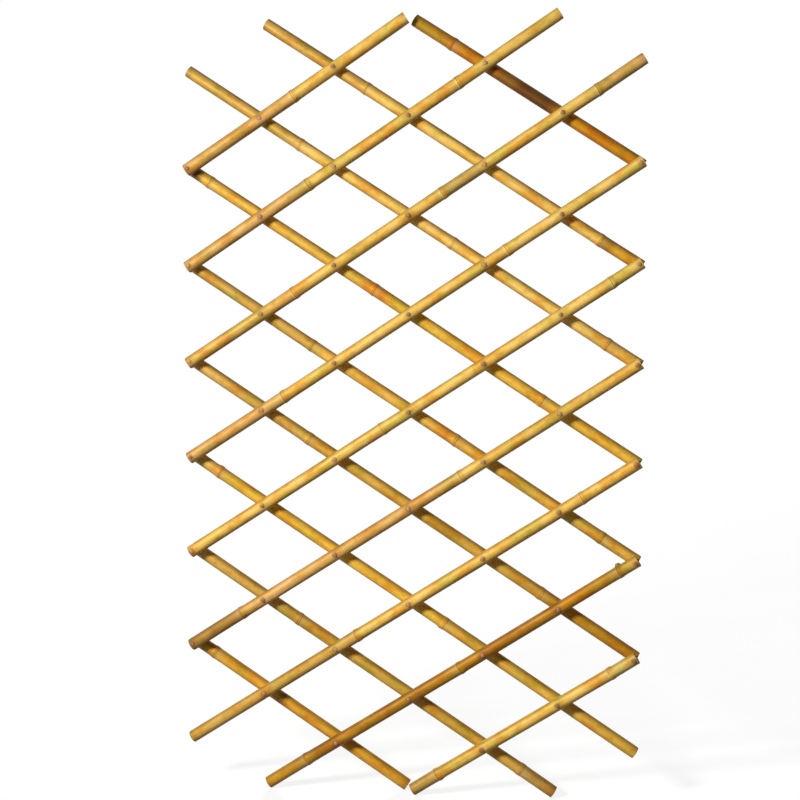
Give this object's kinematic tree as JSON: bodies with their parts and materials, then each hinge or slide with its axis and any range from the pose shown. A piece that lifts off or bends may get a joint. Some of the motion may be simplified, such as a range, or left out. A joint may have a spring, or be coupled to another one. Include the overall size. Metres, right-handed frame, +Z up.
{
  "type": "plant trellis panel",
  "caption": "Expanding panel of crossed bamboo canes, nailed at every crossing so that it folds like scissors, to carry climbing plants on a wall or in a pot.",
  "frame": {"origin": "middle of the panel's box across and through it, at the height of its lowest cane tips", "axes": "+Z up along the panel's height, X across it, +Y through it from the front canes to the back canes"},
  "size_m": [0.5166, 0.0316, 0.8782],
  "materials": {
    "bamboo": "satin, natural golden rind",
    "nail": "dull, browned"
  },
  "bodies": {
    "front_cane_1": {"front_cane_1": "bamboo"},
    "front_cane_2": {"front_cane_2": "bamboo"},
    "front_cane_3": {"front_cane_3": "bamboo"},
    "front_cane_4": {"front_cane_4": "bamboo"},
    "front_cane_5": {"front_cane_5": "bamboo"},
    "front_cane_6": {"front_cane_6": "bamboo"},
    "front_cane_7": {"front_cane_7": "bamboo"},
    "front_cane_8": {"front_cane_8": "bamboo"},
    "front_cane_9": {"front_cane_9": "bamboo"},
    "back_cane_1": {"back_cane_1": "bamboo", "nails_of_back_cane_1": "nail"},
    "back_cane_2": {"back_cane_2": "bamboo", "nails_of_back_cane_2": "nail"},
    "back_cane_3": {"back_cane_3": "bamboo", "nails_of_back_cane_3": "nail"},
    "back_cane_4": {"back_cane_4": "bamboo", "nails_of_back_cane_4": "nail"},
    "back_cane_5": {"back_cane_5": "bamboo", "nails_of_back_cane_5": "nail"},
    "back_cane_6": {"back_cane_6": "bamboo", "nails_of_back_cane_6": "nail"},
    "back_cane_7": {"back_cane_7": "bamboo", "nails_of_back_cane_7": "nail"},
    "back_cane_8": {"back_cane_8": "bamboo", "nails_of_back_cane_8": "nail"},
    "back_cane_9": {"back_cane_9": "bamboo", "nails_of_back_cane_9": "nail"}
  },
  "joints": [
    {"name": "lattice_fold", "type": "hinge", "parent": "front_cane_5", "child": "back_cane_5", "pos_m": [0, -0.0008, 0.43913], "axis": [0, 1, 0], "range_deg": [-56, 104]},
    {"name": "back_cane_2_pivot", "type": "hinge", "parent": "front_cane_5", "child": "back_cane_2", "pos_m": [0.2516, -0.0008, 0.60252], "axis": [0, 1, 0], "range_deg": [-56.5, 104.5]},
    {"name": "back_cane_3_pivot", "type": "hinge", "parent": "front_cane_5", "child": "back_cane_3", "pos_m": [0.16773, -0.0008, 0.54806], "axis": [0, 1, 0], "range_deg": [-56.5, 104.5]},
    {"name": "back_cane_4_pivot", "type": "hinge", "parent": "front_cane_5", "child": "back_cane_4", "pos_m": [0.08387, -0.0008, 0.4936], "axis": [0, 1, 0], "range_deg": [-56.5, 104.5]},
    {"name": "back_cane_6_pivot", "type": "hinge", "parent": "front_cane_5", "child": "back_cane_6", "pos_m": [-0.08387, -0.0008, 0.38467], "axis": [0, 1, 0], "range_deg": [-56.5, 104.5]},
    {"name": "back_cane_7_pivot", "type": "hinge", "parent": "front_cane_5", "child": "back_cane_7", "pos_m": [-0.16773, -0.0008, 0.3302], "axis": [0, 1, 0], "range_deg": [-56.5, 104.5]},
    {"name": "back_cane_8_pivot", "type": "hinge", "parent": "front_cane_5", "child": "back_cane_8", "pos_m": [-0.2516, -0.0008, 0.27574], "axis": [0, 1, 0], "range_deg": [-56.5, 104.5]},
    {"name": "front_cane_2_pivot", "type": "hinge", "parent": "back_cane_5", "child": "front_cane_2", "pos_m": [-0.2516, -0.0008, 0.60252], "axis": [0, -1, 0], "range_deg": [-56.5, 104.5]},
    {"name": "front_cane_3_pivot", "type": "hinge", "parent": "back_cane_5", "child": "front_cane_3", "pos_m": [-0.16773, -0.0008, 0.54806], "axis": [0, -1, 0], "range_deg": [-56.5, 104.5]},
    {"name": "front_cane_4_pivot", "type": "hinge", "parent": "back_cane_5", "child": "front_cane_4", "pos_m": [-0.08387, -0.0008, 0.4936], "axis": [0, -1, 0], "range_deg": [-56.5, 104.5]},
    {"name": "front_cane_6_pivot", "type": "hinge", "parent": "back_cane_5", "child": "front_cane_6", "pos_m": [0.08387, -0.0008, 0.38467], "axis": [0, -1, 0], "range_deg": [-56.5, 104.5]},
    {"name": "front_cane_7_pivot", "type": "hinge", "parent": "back_cane_5", "child": "front_cane_7", "pos_m": [0.16773, -0.0008, 0.3302], "axis": [0, -1, 0], "range_deg": [-56.5, 104.5]},
    {"name": "front_cane_8_pivot", "type": "hinge", "parent": "back_cane_5", "child": "front_cane_8", "pos_m": [0.2516, -0.0008, 0.27574], "axis": [0, -1, 0], "range_deg": [-56.5, 104.5]},
    {"name": "front_cane_1_pivot", "type": "hinge", "parent": "back_cane_3", "child": "front_cane_1", "pos_m": [-0.16773, -0.0008, 0.76591], "axis": [0, -1, 0], "range_deg": [-56.5, 104.5]},
    {"name": "front_cane_9_pivot", "type": "hinge", "parent": "back_cane_7", "child": "front_cane_9", "pos_m": [0.16773, -0.0008, 0.11235], "axis": [0, -1, 0], "range_deg": [-56.5, 104.5]},
    {"name": "back_cane_1_pivot", "type": "hinge", "parent": "front_cane_3", "child": "back_cane_1", "pos_m": [0.16773, -0.0008, 0.76591], "axis": [0, 1, 0], "range_deg": [-56.5, 104.5]},
    {"name": "back_cane_9_pivot", "type": "hinge", "parent": "front_cane_7", "child": "back_cane_9", "pos_m": [-0.16773, -0.0008, 0.11235], "axis": [0, 1, 0], "range_deg": [-56.5, 104.5]}
  ],
  "couplings": [
    {"joint": "back_cane_2_pivot", "follows": "lattice_fold", "ratio": 1},
    {"joint": "back_cane_3_pivot", "follows": "lattice_fold", "ratio": 1},
    {"joint": "back_cane_4_pivot", "follows": "lattice_fold", "ratio": 1},
    {"joint": "back_cane_6_pivot", "follows": "lattice_fold", "ratio": 1},
    {"joint": "back_cane_7_pivot", "follows": "lattice_fold", "ratio": 1},
    {"joint": "back_cane_8_pivot", "follows": "lattice_fold", "ratio": 1},
    {"joint": "front_cane_2_pivot", "follows": "lattice_fold", "ratio": 1},
    {"joint": "front_cane_3_pivot", "follows": "lattice_fold", "ratio": 1},
    {"joint": "front_cane_4_pivot", "follows": "lattice_fold", "ratio": 1},
    {"joint": "front_cane_6_pivot", "follows": "lattice_fold", "ratio": 1},
    {"joint": "front_cane_7_pivot", "follows": "lattice_fold", "ratio": 1},
    {"joint": "front_cane_8_pivot", "follows": "lattice_fold", "ratio": 1},
    {"joint": "front_cane_1_pivot", "follows": "lattice_fold", "ratio": 1},
    {"joint": "front_cane_9_pivot", "follows": "lattice_fold", "ratio": 1},
    {"joint": "back_cane_1_pivot", "follows": "lattice_fold", "ratio": 1},
    {"joint": "back_cane_9_pivot", "follows": "lattice_fold", "ratio": 1}
  ]
}
